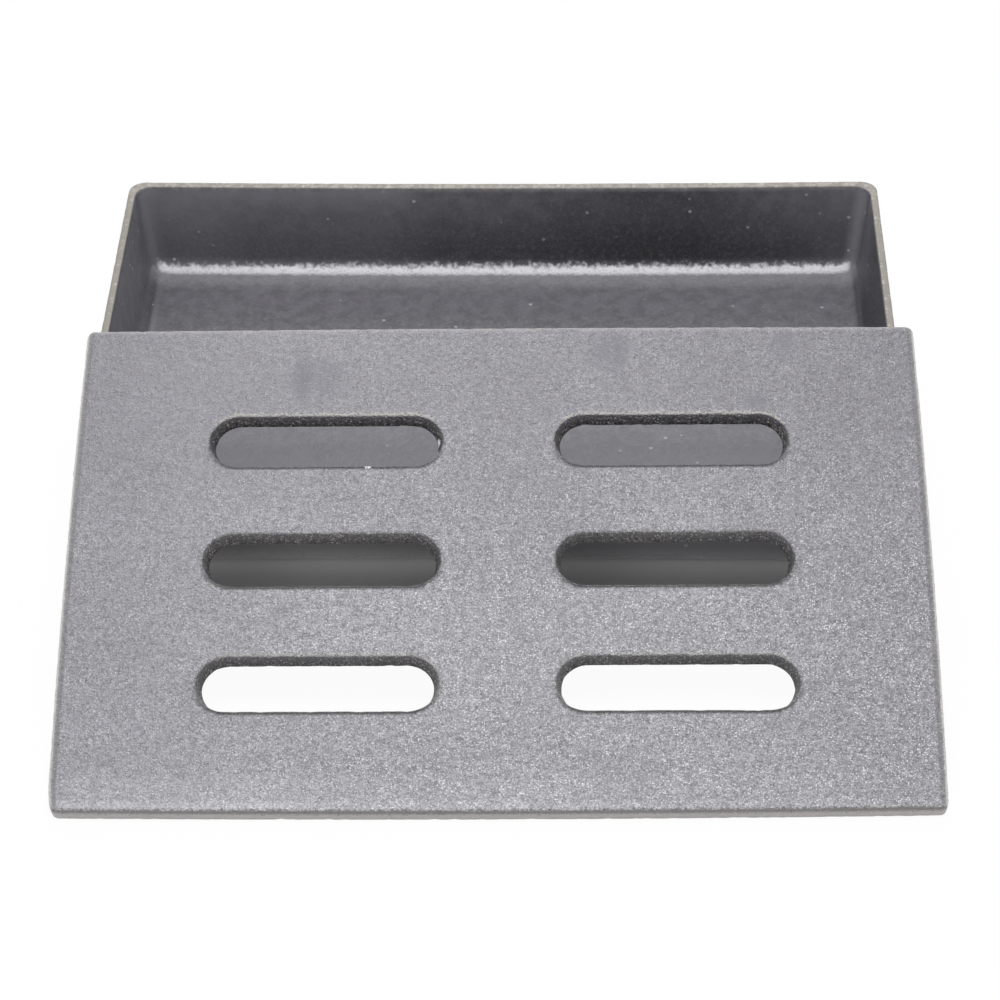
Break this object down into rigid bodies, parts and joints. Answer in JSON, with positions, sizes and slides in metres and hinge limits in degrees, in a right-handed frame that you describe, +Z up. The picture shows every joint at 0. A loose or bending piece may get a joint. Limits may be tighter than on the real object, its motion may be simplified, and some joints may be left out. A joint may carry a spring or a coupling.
{
  "type": "grill smoker box",
  "caption": "Open cast iron tray for wood chips, with a loose slotted flat lid that leans on its front rim.",
  "frame": {"origin": "middle of the tray's flat underside, on the surface that the box stands on", "axes": "+Z up; +X along the tray's long side, to the right; -Y towards the front, where the lid leans"},
  "size_m": [0.2084, 0.2193, 0.0481],
  "materials": {
    "tray_iron": "sand-cast, seasoned, semi-matt",
    "lid_iron": "sand-cast, bare grey, fine sparkling grain"
  },
  "bodies": {
    "tray": {"tray": "tray_iron"},
    "lid": {"lid": "lid_iron"}
  },
  "joints": [
    {"name": "lid_lift", "type": "slide", "parent": "tray", "child": "lid", "axis": [0, 0, 1], "range_m": [0, 0.08]}
  ]
}
